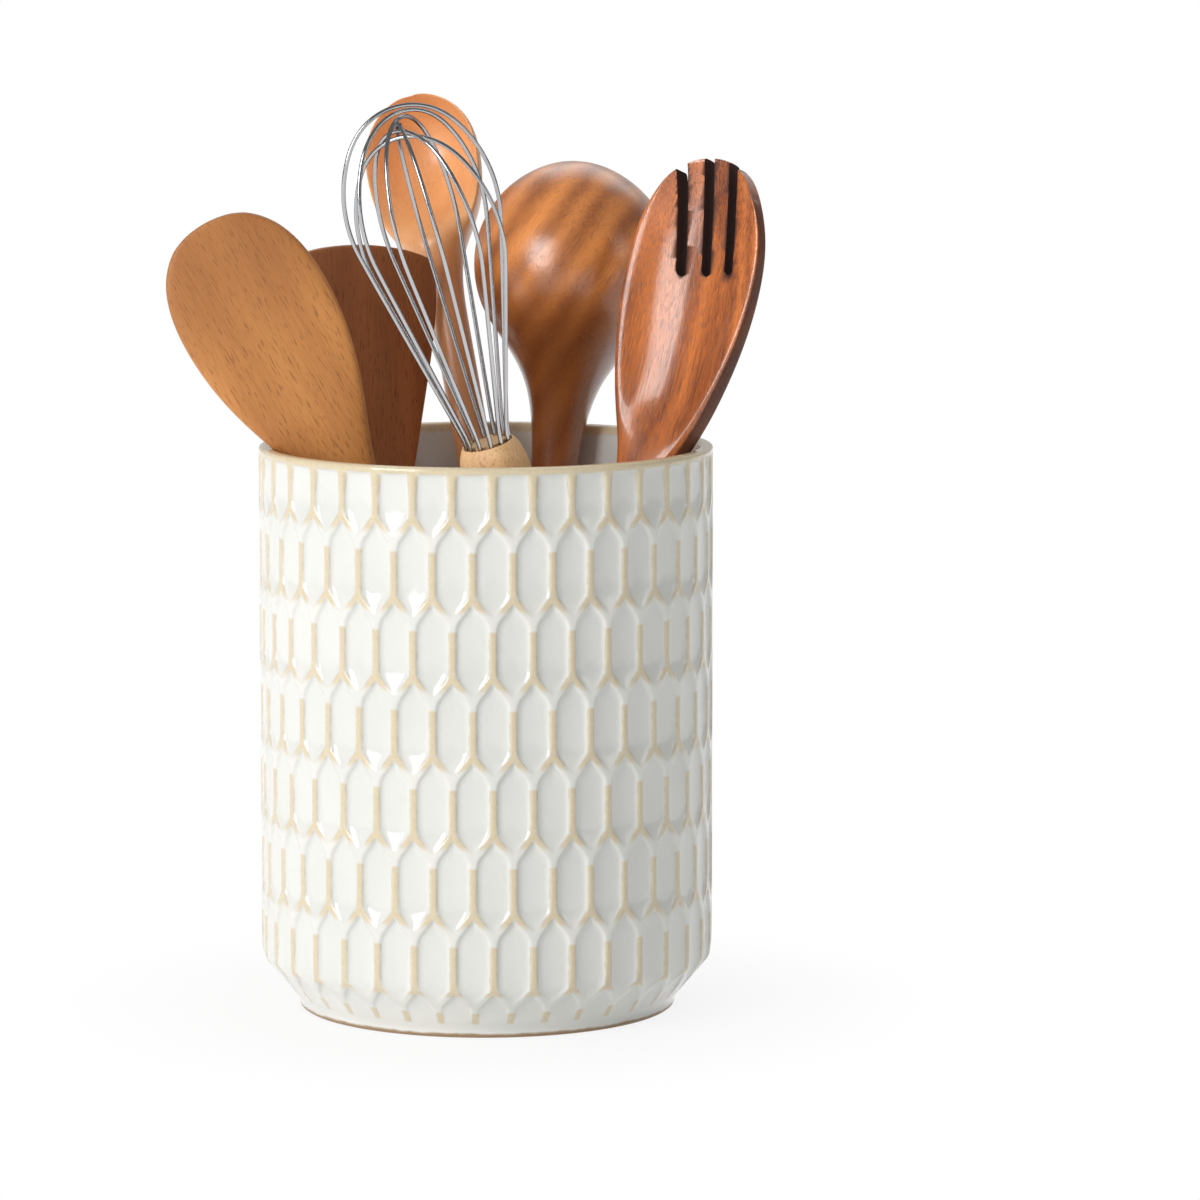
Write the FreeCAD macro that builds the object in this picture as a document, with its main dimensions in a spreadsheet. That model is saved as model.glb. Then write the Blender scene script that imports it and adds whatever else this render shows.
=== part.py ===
import FreeCAD, Part
import itertools
import math
import operator
import os
from types import SimpleNamespace

import Sketcher
from FreeCAD import Placement, Rotation, Vector

# A stoneware utensil crock with the six kitchen tools that stand in it. Millimetres, +Z up. The
# origin is the middle of the crock's foot, and -Y is the side that is seen from the front.
# Angles are in degrees, and a turn round the crock is counted from +X.

SIZES = {
    # Crock: a thrown pot with a bevelled foot and a honeycomb relief all round its wall
    "crock_height": 183,
    "crock_radius": 73.5,  # over the ridges
    "crock_wall": 5,
    "floor_thickness": 9,
    "floor_corner": 10,
    "foot_height": 3,
    "bevel_height": 14.5,
    "bevel_run": 12.2,  # from the plain wall in to the foot
    "lip": 1.5,
    "relief_columns": 36,
    "relief_stand": 0.3,  # how far the ridges stand out from the plain rim
    "relief_depth": 1.5,
    "relief_turn": 1.6,
    "row_pitch": 25,
    "rim_row": 14.5,
    "leg_height": 8,
    "ridge_half": 0.7,
    "cell_hip": 9,  # from a cell's top corner down to its keel
    "cell_ramp": 15,  # from its bottom corner up to the keel
    # How every tool stands: clear of the floor and of the rim that it leans on
    "stand_gap": 0.3,
    "lean_gap": 0.3,
    "overrun": 0.25,
    # Paddle spoon: a flat beech blade on a round handle
    "paddle_over": 83.6,  # from the rim to the tip, as on every tool
    "paddle_blade": 112,
    "paddle_width": 49.5,
    "paddle_thickness": 8,
    "paddle_tip": 5,
    "paddle_handle": 6,
    "paddle_rim_reach": 18.6,
    "paddle_foot_turn": -6.4,
    "paddle_rim_turn": 193.8,
    "paddle_roll": 0,
    # Turner: a broad flat blade, gently curved across the top
    "turner_over": 63.3,
    "turner_blade": 165,
    "turner_width": 62,
    "turner_thickness": 8,
    "turner_tip": 3.2,
    "turner_handle": 6.5,
    "turner_rim_reach": 7,
    "turner_foot_turn": 144,
    "turner_rim_turn": 131.8,
    "turner_roll": 40,
    # Deep spoon: an egg-shaped bowl, open towards the front
    "deep_over": 117.8,
    "deep_bowl_radius": 20.5,
    "deep_wall": 3,
    "deep_open": -3,
    "deep_run": 24,
    "deep_pit": 44,  # the hollow's lowest point, under the middle of the bowl's ball
    "deep_ball_turn": 11.5,  # how far the ball reaches down below its middle
    "deep_handle": 6,
    "deep_rim_reach": 6.6,
    "deep_foot_turn": -4.6,
    "deep_rim_turn": 95,
    "deep_roll": -20,
    # Whisk: a turned handle with a plug in its end, which holds six wire loops
    "whisk_over": 8.8,  # to the end of the handle
    "whisk_balloon": 112,
    "whisk_width": 48,
    "whisk_loops": 6,
    "wire_radius": 0.8,
    "wire_step": 1.95,  # each loop lies this much under the one above
    "wire_ring": 6.6,
    "wire_rise": 1.2,
    "wire_clearance": 0.12,
    "plug_length": 20,
    "whisk_grip": 11.5,
    "whisk_handle": 9,
    "whisk_swell": 32,  # where the handle has swelled to its full radius
    "whisk_rim_reach": 11.6,
    "whisk_foot_turn": -31.1,
    "whisk_rim_turn": -87.2,
    "whisk_roll": 8,
    # Ladle: a round bowl, open towards the back
    "ladle_over": 89.6,
    "ladle_bowl_radius": 34,
    "ladle_wall": 4,
    "ladle_open": 5,
    "ladle_run": 20,
    "ladle_pit": 34,
    "ladle_ball_turn": 29.8,
    "ladle_handle": 7,
    "ladle_rim_reach": 9,
    "ladle_foot_turn": 80.6,
    "ladle_rim_turn": 66.3,
    "ladle_roll": 14,
    # Fork: a thick scooped server with four tines, bent forward to its tip
    "fork_over": 96.3,
    "fork_blade": 120,
    "fork_width": 48,
    "fork_thickness": 13,
    "fork_tip": 7,
    "fork_bend": 16,
    "fork_handle": 6.5,
    "fork_slots": 3,
    "fork_slot": 3.3,
    "fork_slot_pitch": 9.1,
    "fork_slot_length": 39,
    "fork_scoop_depth": 4,
    "fork_scoop_radius": 42,
    "fork_scoop_length": 74,
    "fork_rim_reach": 14.05,
    "fork_foot_turn": -96.4,
    "fork_rim_turn": -7.9,
    "fork_roll": -35,
}

# How far out on the flat of the floor each foot stands.
FOOT_SHARES = {
    "paddle": 0.77,
    "turner": 0.867,
    "deep": 0.422,
    "whisk": 0.925,
    "ladle": 0.806,
    "fork": 0.51,
}

# A blade's half width at its neck, where it starts inside the handle, and how far up the blade the
# handle runs out.
NECK_SHARES = {"paddle": 0.15, "turner": 0.13, "fork": 0.34}
RUN_OUT_SHARE = 0.25

# Outlines of the right side, from the neck up to the crown, as (across, below the tip) shares of
# half the width and of the blade's length. Each pair is a point on an arc and the arc's end.
PADDLE_SIDE_SHARES = [
    ((0.35, 0.83), (0.77, 0.59)),
    ((0.955, 0.44), (1, 0.29)),
    ((0.95, 0.16), (0.77, 0.067)),
]
TURNER_SIDE_SHARES = [
    ((0.29, 0.78), (0.52, 0.58)),
    ((0.79, 0.33), (0.97, 0.18)),
    ((1, 0.13), (0.99, 0.085)),
    ((0.965, 0.045), (0.87, 0.027)),
]
FORK_SIDE_SHARES = [
    ((0.4, 0.86), (0.66, 0.7)),
    ((0.9, 0.53), (1, 0.33)),
    ((0.985, 0.2), (0.775, 0.09)),
]

# A bent blade leaves its handle straight and follows a round curve: its bend at a share of the
# blade's length from the foot is the square of that share.
BEND_HALF_SHARE = 0.5**2

# Half profiles of the turned spoons, as (radius, below the tip) shares of the bowl's radius: the
# points from the neck up to where the ball of the bowl begins, which then closes over the tip.
DEEP_NECK_SHARES = [(0.28, 3.45), (0.42, 2.75), (0.81, 2.2)]
LADLE_NECK_SHARES = [(0.253, 2.65), (0.38, 2.09)]

# The edges of a handle's foot lie on a ball, as turns from the axis. The shares are of its radius.
FOOT_EDGE_TURN, SHAFT_EDGE_TURN = math.radians(15), math.radians(60)
FOOT_FLAT_SHARE, SHAFT_SHARE = math.sin(FOOT_EDGE_TURN), math.sin(SHAFT_EDGE_TURN)
FOOT_CENTRE_SHARE = math.cos(FOOT_EDGE_TURN)
FOOT_CHAMFER_SHARE = FOOT_CENTRE_SHARE - math.cos(SHAFT_EDGE_TURN)

DIAGONAL_SHARE = math.sqrt(0.5)
BOWL_BAND_COUNT = 4
WIRE_BEND_TURN = math.radians(15)

# The radius of the whisk's crown, of half its width, and the height of its round top over the
# widest part, of the balloon's height.
WHISK_CROWN_SHARE, WHISK_SHOULDER_SHARE = 0.833, 0.295

# How far out the cut goes that opens a bowl, of the bowl's radius.
OPENING_REACH_SHARE = 2


class Size:
    """A length with the sheet formula that gives it, so that what it draws stays bound to the sheet."""

    def __init__(self, value, formula):
        self.value = value
        self.formula = formula

    def __add__(self, other):
        return combined(self, "+", other)

    def __radd__(self, other):
        return combined(other, "+", self)

    def __sub__(self, other):
        return combined(self, "-", other)

    def __mul__(self, other):
        return combined(self, "*", other)

    def __truediv__(self, other):
        return combined(self, "/", other)

    def __neg__(self):
        return combined(0, "-", self)


OPERATIONS = {"+": operator.add, "-": operator.sub, "*": operator.mul, "/": operator.truediv}


def sized(number):
    return number if isinstance(number, Size) else Size(number, str(number))


def combined(one, sign, other):
    one, other = sized(one), sized(other)
    value = OPERATIONS[sign](one.value, other.value)
    return Size(value, f"({one.formula} {sign} {other.formula})")


doc = FreeCAD.newDocument("utensil_crock")
sheet = doc.addObject("Spreadsheet::Sheet", "Sizes")
rows = itertools.count(1)


def enter(alias, content):
    """Writes a row of the sheet."""
    row = next(rows)
    sheet.set(f"A{row}", alias)
    sheet.set(f"B{row}", str(content))
    sheet.setAlias(f"B{row}", alias)


def held(alias):
    return Size(sheet.get(alias), f"Sizes.{alias}")


for alias, number in SIZES.items():
    enter(alias, number)
doc.recompute()
size = SimpleNamespace(**{alias: held(alias) for alias in SIZES})
inner_radius = size.crock_radius - size.crock_wall
floor_flat = inner_radius - size.floor_corner
rim_height = size.crock_height - size.lip


def of_tool(name, *keys):
    return [getattr(size, f"{name}_{key}") for key in keys]


def round_crock(radius, turn, height):
    """The point at a radius and a turn round the crock, as three sizes."""
    angle = math.radians(turn.value)
    across = Size(math.cos(angle), f"cos({turn.formula} * 1 deg)")
    behind = Size(math.sin(angle), f"sin({turn.formula} * 1 deg)")
    return radius * across, radius * behind, height


def stance(name):
    """The middle of the ball round a tool's foot, on the floor, and the tool's point at the rim."""
    handle, foot_turn, rim_turn, rim_reach = of_tool(name, "handle", "foot_turn", "rim_turn", "rim_reach")
    height = size.floor_thickness + size.stand_gap + handle / SHAFT_SHARE
    foot = round_crock(floor_flat * FOOT_SHARES[name], foot_turn, height)
    return foot, round_crock(inner_radius - size.lean_gap - rim_reach, rim_turn, rim_height)


# Each tool is as long as it takes to lean on the rim, and as far again as it stands out over it.
for name in FOOT_SHARES:
    square = sum((high - low) * (high - low) for low, high in zip(*stance(name)))
    handle, over = of_tool(name, "handle", "over")
    length = Size(math.sqrt(square.value), f"sqrt({square.formula})")
    length += handle / SHAFT_SHARE * FOOT_CENTRE_SHARE + over
    enter(f"{name}_length", "=" + length.formula.replace("Sizes.", ""))
doc.recompute()
for name in FOOT_SHARES:
    setattr(size, f"{name}_length", held(f"{name}_length"))


def new_sketch(body, name, role):
    sketch = body.newObject("Sketcher::SketchObject", name)
    plane = next(part for part in body.Origin.OriginFeatures if part.Role == role)
    sketch.AttachmentSupport = [(plane, "")]
    sketch.MapMode = "FlatFace"
    return sketch


def flat_point(point):
    return Vector(sized(point[0]).value, sized(point[1]).value, 0)


def pin(sketch, edge, end, point):
    """Holds one end of an edge at a point, by its distances from the sketch's origin."""
    for kind, place in zip(("DistanceX", "DistanceY"), point):
        place = sized(place)
        number = sketch.addConstraint(Sketcher.Constraint(kind, -1, 1, edge, end, place.value))
        sketch.setExpression(f"Constraints[{number}]", place.formula)


def outline(body, name, role, start, *steps):
    """A closed sketch. A step is a point, reached by a line, or two, reached by an arc through one."""
    sketch = new_sketch(body, name, role)
    here, joint, first = start, None, None
    closing = () if start in steps[-1] else (start,)
    for step in steps + closing:
        curved = isinstance(step[0], tuple)
        there = step[1] if curved else step
        if curved:
            shape = Part.Arc(flat_point(here), flat_point(step[0]), flat_point(there))
        else:
            shape = Part.LineSegment(flat_point(here), flat_point(there))
        edge = sketch.addGeometry(shape)
        head, tail = 1, 2
        if sketch.getPoint(edge, tail).distanceToPoint(flat_point(here)) < sketch.getPoint(
            edge, head
        ).distanceToPoint(flat_point(here)):
            head, tail = 2, 1
        if joint:
            sketch.addConstraint(Sketcher.Constraint("Coincident", *joint, edge, head))
        else:
            first = (edge, head)
            pin(sketch, edge, head, here)
        if curved:
            middle = sketch.addGeometry(Part.Point(flat_point(step[0])), True)
            sketch.addConstraint(Sketcher.Constraint("PointOnObject", middle, 1, edge))
            pin(sketch, middle, 1, step[0])
        if there is start:
            sketch.addConstraint(Sketcher.Constraint("Coincident", edge, tail, *first))
        else:
            pin(sketch, edge, tail, there)
        here, joint = there, (edge, tail)
    return sketch


def feature(body, kind, name, profile=None, **values):
    """A feature of the body. Values that are sizes are bound to the sheet."""
    made = body.newObject(f"PartDesign::{kind}", name)
    if profile:
        made.Profile = profile
    for key, value in values.items():
        if isinstance(value, Size):
            made.setExpression(key.replace("_", "."), value.formula)
        else:
            setattr(made, key, value)
    doc.recompute()
    return made


def turned(body, kind, name, profile):
    return feature(body, kind, name, profile, ReferenceAxis=(profile, ["V_Axis"]))


def new_body(name):
    return doc.addObject("PartDesign::Body", name)


def boolean(kind, name, base, tool):
    made = doc.addObject(f"Part::{kind}", name)
    made.Base, made.Tool = base, tool
    return made


def honeycomb_cell(apex):
    """One cell as a cutter at the front of the wall: a hexagon whose sides fall to a short keel."""
    radius, depth, over = size.crock_radius.value, size.relief_depth.value, size.overrun.value
    half_pitch = radius * math.tan(math.pi / size.relief_columns.value)
    slope = size.leg_height.value / half_pitch
    height = size.row_pitch.value + size.leg_height.value
    reach = half_pitch - size.ridge_half.value
    inset = size.ridge_half.value * math.hypot(slope, 1)
    top, bottom = apex - inset, apex - height + inset
    high = Vector(0, depth - radius, top - size.cell_hip.value)
    low = Vector(0, depth - radius, bottom + size.cell_ramp.value)

    def lifted(places, keel):
        """Corners of the hexagon, drawn on along their edges till they stand clear of the wall."""
        corners = [Vector(across, -radius, up) for across, up in places]
        return [corner + (corner - keel) * (over / depth) for corner in corners]

    shoulder, hem = top - slope * reach, bottom + slope * reach
    a, b, c = lifted([(-reach, shoulder), (0, top), (reach, shoulder)], high)
    d, e, f = lifted([(reach, hem), (0, bottom), (-reach, hem)], low)
    upper = [[a, b, high], [b, c, high]]
    lower = [[d, e, low], [e, f, low]]
    sides = [[c, d, low, high], [f, a, high, low], [a, b, c, d, e, f]]
    loops = [Part.makePolygon(loop + loop[:1]) for loop in upper + lower + sides]
    cell = Part.Solid(Part.Shell([Part.Face(loop) for loop in loops]))
    foot, brow = relief_band()
    width = 2 * half_pitch
    band = Part.makeBox(2 * width, 2 * radius, brow - foot, Vector(-width, -2 * radius, foot))
    return cell if apex <= brow and apex - height >= foot else cell.common(band)


def relief_band():
    """The heights between which the cells are cut."""
    bottom = size.foot_height.value + size.bevel_height.value + size.ridge_half.value
    return bottom, rim_height.value - size.ridge_half.value


def honeycomb():
    """Every cell of the relief, row by row down the wall, each row half a cell round from the last."""
    columns = int(size.relief_columns.value)
    step = math.degrees(2 * math.pi / columns)
    apex = rim_height.value - size.rim_row.value + size.row_pitch.value
    cells, stagger = [], step / 2
    while apex - size.leg_height.value > relief_band()[0]:
        cell = honeycomb_cell(apex)
        for column in range(columns):
            copy = cell.copy()
            copy.rotate(Vector(), Vector(0, 0, 1), size.relief_turn.value + stagger + step * column)
            cells.append(copy)
        apex -= size.row_pitch.value
        stagger = step / 2 - stagger
    relief = doc.addObject("Part::Feature", "relief_cells")
    relief.Shape = Part.makeCompound(cells)
    return relief


def make_crock():
    plain_radius = size.crock_radius - size.relief_stand
    foot_radius = plain_radius - size.bevel_run
    wall_foot = size.foot_height + size.bevel_height
    outside = new_body("crock_outside")
    profile = outline(
        outside, "outside_profile", "XZ_Plane",
        (0, 0),
        (foot_radius, 0),
        (foot_radius, size.foot_height),
        (plain_radius, wall_foot),
        (plain_radius, rim_height),
        (plain_radius - size.lip, size.crock_height),
        (0, size.crock_height),
    )
    turned(outside, "Revolution", "outside_turned", profile)

    # The ridges stand on a wall of two flats to each column, so that every crest is flat.
    ridges = doc.addObject("Part::Prism", "ridge_wall")
    ridges.setExpression("Polygon", "Sizes.relief_columns * 2")
    ridges.setExpression("Circumradius", "Sizes.crock_radius / cos(90 deg / Sizes.relief_columns)")
    ridges.setExpression("Height", (rim_height - wall_foot).formula)
    ridges.setExpression("Placement.Base.z", wall_foot.formula)
    ridges.setExpression("Placement.Rotation.Angle", "Sizes.relief_turn")

    inside = new_body("crock_inside")
    top = size.crock_height + size.lip
    profile = outline(
        inside, "inside_profile", "XZ_Plane",
        (0, size.floor_thickness),
        (floor_flat, size.floor_thickness),
        (inner_radius, size.floor_thickness + size.floor_corner),
        (inner_radius, rim_height),
        (inner_radius + size.lip, size.crock_height),
        (inner_radius + size.lip, top),
        (0, top),
    )
    turned(inside, "Revolution", "inside_turned", profile)
    blank = boolean("Fuse", "crock_blank", outside, ridges)
    pot = boolean("Cut", "crock_pot", blank, inside)
    return boolean("Cut", "crock", pot, honeycomb())


def handle_profile(radius):
    """The foot of a round handle, from the axis out to the shaft: a small flat and a long chamfer."""
    ball = radius / SHAFT_SHARE
    return [(0, 0), (ball * FOOT_FLAT_SHARE, 0), (radius, ball * FOOT_CHAMFER_SHARE)]


def flat_tool(name, side_shares):
    """A blade that grows out of a round handle and thins towards its tip, straight or bent forward."""
    tip, below, width = of_tool(name, "length", "blade", "width")
    thickness, thin, handle = of_tool(name, "thickness", "tip", "handle")
    bend = getattr(size, f"{name}_bend", None)
    slab = thickness + bend * 2 if bend else thickness
    foot = tip - below

    def at(shares, side):
        return (width * (side * shares[0] / 2), tip - below * shares[1])

    body = new_body(name)
    ends = [(NECK_SHARES[name], 1)] + [end for through, end in side_shares]
    corners = {side: [at(end, side) for end in ends] for side in (1, -1)}
    throughs = {side: [at(through, side) for through, end in side_shares] for side in (1, -1)}
    right = list(zip(throughs[1], corners[1][1:]))
    left = list(zip(throughs[-1], corners[-1]))[::-1]
    crown = ((0, tip), corners[-1][-1])
    sketch = outline(
        body, f"{name}_outline", "XZ_Plane", corners[-1][0], corners[1][0], *right, crown, *left
    )
    feature(body, "Pad", f"{name}_blade", sketch, Length=slab, Midplane=True)
    for side, label in ((1, "back"), (-1, "front")):
        face, edge, far = thickness * (side / 2), thin * (side / 2), slab * side
        end = (edge - bend, tip) if bend else (edge, tip)
        rise = (((face + edge) / 2 - bend * BEND_HALF_SHARE, tip - below / 2), end) if bend else end
        slope = outline(
            body, f"{name}_{label}_slope", "YZ_Plane",
            (face, foot), rise, (end[0], tip + thin), (far, tip + thin), (far, foot),
        )
        feature(body, "Pocket", f"{name}_{label}_thinned", slope, Midplane=True, Type="ThroughAll")
    profile = outline(
        body, f"{name}_shaft", "XZ_Plane",
        *handle_profile(handle), (handle, foot + handle), (0, foot + below * RUN_OUT_SHARE),
    )
    turned(body, "Revolution", f"{name}_handle", profile)
    return body


def hollow_tool(name, neck_shares, side):
    """A turned club whose bowl is opened on one side (1 back, -1 front) and hollowed to a wall."""
    tip, radius, wall, handle = of_tool(name, "length", "bowl_radius", "wall", "handle")
    opening, run, pit, turn = of_tool(name, "open", "run", "pit", "ball_turn")
    middle, inner = tip - radius, radius - wall
    low = -math.radians(turn.value)

    def ball(reach):
        """The bands of the bowl's ball, from its lower edge to its top."""
        turns = [low + (math.pi / 2 - low) * band / BOWL_BAND_COUNT for band in range(BOWL_BAND_COUNT)]
        bands = [(reach * math.cos(turn), middle + reach * math.sin(turn)) for turn in turns]
        return bands + [(0, middle + reach)]

    neck = [(radius * across, tip - radius * below) for across, below in neck_shares]
    body = new_body(name)
    profile = outline(
        body, f"{name}_profile", "XZ_Plane",
        *handle_profile(handle), (handle, neck[0][1] - handle), *neck, *ball(radius),
    )
    turned(body, "Revolution", f"{name}_turned", profile)
    out, high = radius * OPENING_REACH_SHARE, tip + wall
    opened = outline(
        body, f"{name}_opening", "YZ_Plane",
        (opening, high), (opening, middle - run), (out * side, middle - run - out), (out * side, high),
    )
    feature(body, "Pocket", f"{name}_opened", opened, Midplane=True, Type="ThroughAll")
    hollow = outline(body, f"{name}_hollow_profile", "XZ_Plane", (0, middle - pit), *ball(inner))
    turned(body, "Groove", f"{name}_hollow", hollow)
    return body


def make_fork():
    body = flat_tool("fork", FORK_SIDE_SHARES)
    tip = size.fork_length
    foot = tip - size.fork_scoop_length

    # The scoop runs along the straight line under the bent face, from its lower end to the tip.
    share = (size.fork_blade - size.fork_scoop_length) / size.fork_blade
    thins = (size.fork_thickness - size.fork_tip) / 2
    front = thins * share - size.fork_thickness / 2 - size.fork_bend * share * share
    axis = front + size.fork_scoop_depth - size.fork_scoop_radius
    forward = front + size.fork_tip / 2 + size.fork_bend
    slope = forward / size.fork_scoop_length
    lean = Size(math.degrees(math.atan(slope.value)), f"atan({slope.formula})")
    feature(
        body, "SubtractiveCylinder", "fork_scoop", Radius=size.fork_scoop_radius,
        Height=size.fork_scoop_length + size.fork_scoop_radius,
        Placement=Placement(Vector(), Rotation(Vector(1, 0, 0), lean.value)),
        Placement_Base_y=axis, Placement_Base_z=foot, Placement_Rotation_Angle=lean,
    )
    feature(
        body, "SubtractiveSphere", "fork_scoop_end", Radius=size.fork_scoop_radius,
        Placement_Base_y=axis, Placement_Base_z=foot,
    )
    half = size.fork_slot / 2
    low = tip - size.fork_slot_length + half
    high = tip + size.fork_slot
    start = (half, low)
    slot = outline(
        body, "fork_slot_outline", "XZ_Plane",
        start, (half, high), (-half, high), (-half, low), ((0, low - half), start),
    )
    cut = feature(body, "Pocket", "fork_slot_cut", slot, Midplane=True, Type="ThroughAll")
    for name, backwards in (("fork_slots_right", False), ("fork_slots_left", True)):
        feature(
            body, "LinearPattern", name, Originals=[cut], Direction=(slot, ["H_Axis"]),
            Reversed=backwards, Length=size.fork_slot_pitch, Occurrences=(size.fork_slots + 1) / 2,
        )
    body.Tip = body.Group[-1]
    return body


def whisk_socket():
    """The bore's radius and its floor's height: the wires stand round the plug, against the bore."""
    bore = size.wire_ring + size.wire_radius + size.wire_clearance
    return bore, size.whisk_length - size.plug_length


def make_whisk_handle():
    body = new_body("whisk_handle")
    top = size.whisk_length
    bore, floor = whisk_socket()
    widest = size.whisk_grip
    shoulder = top - widest * DIAGONAL_SHARE
    eighth = math.pi / 8
    halfway = (widest * math.cos(eighth), shoulder + widest * math.sin(eighth))
    profile = outline(
        body, "whisk_handle_profile", "XZ_Plane",
        *handle_profile(size.whisk_handle),
        (widest, size.whisk_swell),
        (widest, shoulder),
        halfway,
        (widest * DIAGONAL_SHARE, top),
        (bore, top),
        (bore, floor),
        (0, floor),
    )
    turned(body, "Revolution", "whisk_handle_turned", profile)
    return body


def make_whisk_plug():
    body = new_body("whisk_plug")
    bore, floor = whisk_socket()
    radius = size.wire_ring - size.wire_radius - size.wire_clearance
    profile = outline(
        body, "whisk_plug_profile", "XZ_Plane",
        (0, floor), (radius, floor), (radius, size.whisk_length), (0, size.whisk_length),
    )
    turned(body, "Revolution", "whisk_plug_turned", profile)
    return body


def make_wire(loop):
    """One loop of the whisk: out of the plug, splayed to the widest part and round over the pole."""
    ring, half = size.wire_ring.value, size.whisk_width.value / 2
    crown = half * WHISK_CROWN_SHARE
    rise = size.whisk_balloon.value * WHISK_SHOULDER_SHARE
    pole = (size.whisk_length + size.whisk_balloon).value
    top = pole - loop * size.wire_step.value - size.wire_radius.value
    start = size.whisk_length.value - size.plug_length.value
    knee = Vector(ring, 0, size.whisk_length.value + size.wire_rise.value)

    # The shoulder's arc stands upright at the widest part and runs into the crown's arc.
    shoulder = (half**2 + rise**2 - 2 * rise * crown) / (2 * (half - crown))
    middle = Vector(half - shoulder, 0, top - rise)
    crown_middle = Vector(0, 0, top - crown)
    meet = crown_middle + (crown_middle - middle).normalize() * crown
    reach = knee - middle
    turn = math.atan2(reach.z, reach.x) + math.acos(shoulder / reach.Length)
    touch = middle + Vector(math.cos(turn), 0, math.sin(turn)) * shoulder

    def bent(centre, radius, first, last):
        """Points round an arc from one to the other, both included, a bend apart."""
        turns = [math.atan2(point.z - centre.z, point.x - centre.x) for point in (first, last)]
        steps = max(1, round(abs(turns[1] - turns[0]) / WIRE_BEND_TURN))
        spread = [turns[0] + (turns[1] - turns[0]) * step / steps for step in range(steps + 1)]
        return [centre + Vector(math.cos(turn), 0, math.sin(turn)) * radius for turn in spread]

    side = [Vector(ring, 0, start), knee] + bent(middle, shoulder, touch, meet)
    over = bent(crown_middle, crown, meet, Vector(-meet.x, 0, meet.z))
    path = side + over[1:-1] + [Vector(-point.x, 0, point.z) for point in reversed(side)]
    turned_by = Rotation(Vector(0, 0, 1), math.degrees(math.pi * loop / size.whisk_loops.value))
    path = [turned_by.multVec(point) for point in path]
    edges = [Vector(1, 0, 0), Vector(0, 1, 0), Vector(-1, 0, 0), Vector(0, -1, 0), Vector(1, 0, 0)]
    corners = [path[0] + turned_by.multVec(edge) * size.wire_radius.value for edge in edges]
    section = Part.makePolygon(corners)
    wire = doc.addObject("Part::Feature", f"whisk_wire_{loop + 1}")
    wire.Shape = Part.makePolygon(path).makePipeShell([section], True, True, 1)
    return wire


def standing(name):
    """Where a tool stands: its foot on the floor, leaning to the rim at its own turn."""
    foot, rim = [Vector(*[place.value for place in point]) for point in stance(name)]
    handle, roll = of_tool(name, "handle", "roll")
    along = (rim - foot).normalize()
    spin = Rotation(Vector(0, 0, 1), along) * Rotation(Vector(0, 0, 1), roll.value)
    return Placement(foot - along * (handle.value / SHAFT_SHARE * FOOT_CENTRE_SHARE), spin)


def build():
    """Every piece under its own name, in its place."""
    paddle = flat_tool("paddle", PADDLE_SIDE_SHARES)
    turner = flat_tool("turner", TURNER_SIDE_SHARES)
    deep = hollow_tool("deep", DEEP_NECK_SHARES, -1)
    ladle = hollow_tool("ladle", LADLE_NECK_SHARES, 1)
    whisk = [make_whisk_handle(), make_whisk_plug()]
    whisk += [make_wire(loop) for loop in range(int(size.whisk_loops.value))]
    pieces = {
        "crock": (make_crock(), None),
        "paddle_spoon": (paddle, standing("paddle")),
        "turner": (turner, standing("turner")),
        "deep_spoon": (deep, standing("deep")),
        "ladle": (ladle, standing("ladle")),
        "fork": (make_fork(), standing("fork")),
    }
    for piece in whisk:
        pieces[piece.Name] = (piece, standing("whisk"))
    for name, (piece, place) in pieces.items():
        piece.Label = name
        if place:
            piece.Placement = place
    return [piece for piece, place in pieces.values()]


pieces = build()
doc.recompute()
for item in doc.Objects:
    if {"Invalid", "Error"} & set(item.State):
        raise RuntimeError(f"{item.Name} failed: {item.State}")
for piece in pieces:
    if piece.Shape.isNull() or not piece.Shape.isValid() or len(piece.Shape.Solids) != 1:
        raise RuntimeError(f"{piece.Label} is not one valid solid")
os.makedirs("parts", exist_ok=True)
for piece in pieces:
    piece.Shape.exportStep(f"parts/{piece.Label}.step")
    print(piece.Label, round(piece.Shape.Volume / 1000, 2), "cm3")
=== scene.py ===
import math

import bmesh
import bpy
from mathutils import Matrix, Vector


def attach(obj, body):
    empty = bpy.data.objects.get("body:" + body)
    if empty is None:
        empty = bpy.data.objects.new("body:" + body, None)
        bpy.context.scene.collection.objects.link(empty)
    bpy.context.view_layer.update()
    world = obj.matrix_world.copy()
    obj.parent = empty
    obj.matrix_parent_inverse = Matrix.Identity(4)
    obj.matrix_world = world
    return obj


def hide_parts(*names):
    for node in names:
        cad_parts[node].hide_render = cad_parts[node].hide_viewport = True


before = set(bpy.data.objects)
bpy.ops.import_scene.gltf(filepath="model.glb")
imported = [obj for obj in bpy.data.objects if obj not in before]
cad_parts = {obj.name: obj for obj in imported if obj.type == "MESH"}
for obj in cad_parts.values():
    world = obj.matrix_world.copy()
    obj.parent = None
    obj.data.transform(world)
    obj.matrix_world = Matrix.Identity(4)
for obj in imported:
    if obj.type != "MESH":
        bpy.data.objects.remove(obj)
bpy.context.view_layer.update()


# The crock is one thrown stoneware pot with a honeycomb pressed into its wall. The white glaze is
# thick in the cells and has run off the ridges, where the tan body shows through. It stands on a
# narrow bare foot and holds all the rest.
MILLIMETRE = 0.001  # every piece is modelled in millimetres
COLUMNS, ROWS = 36, 8
ROW_PITCH = 25
LEG_HEIGHT = 8  # of the two slanting legs that an upright ridge splits into
LOWEST_SPLIT = 17
RELIEF_TURN = 1.6  # degrees round from the front
RELIEF_TOP, RELIEF_FOOT = 182.0, 1.0
RIM_EDGE = 181.5
WALL_RADIUS, WALL_FOOT = 73.4, 17.5
FOOT_RADIUS, FOOT_HEIGHT = 61.2, 3.0
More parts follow.
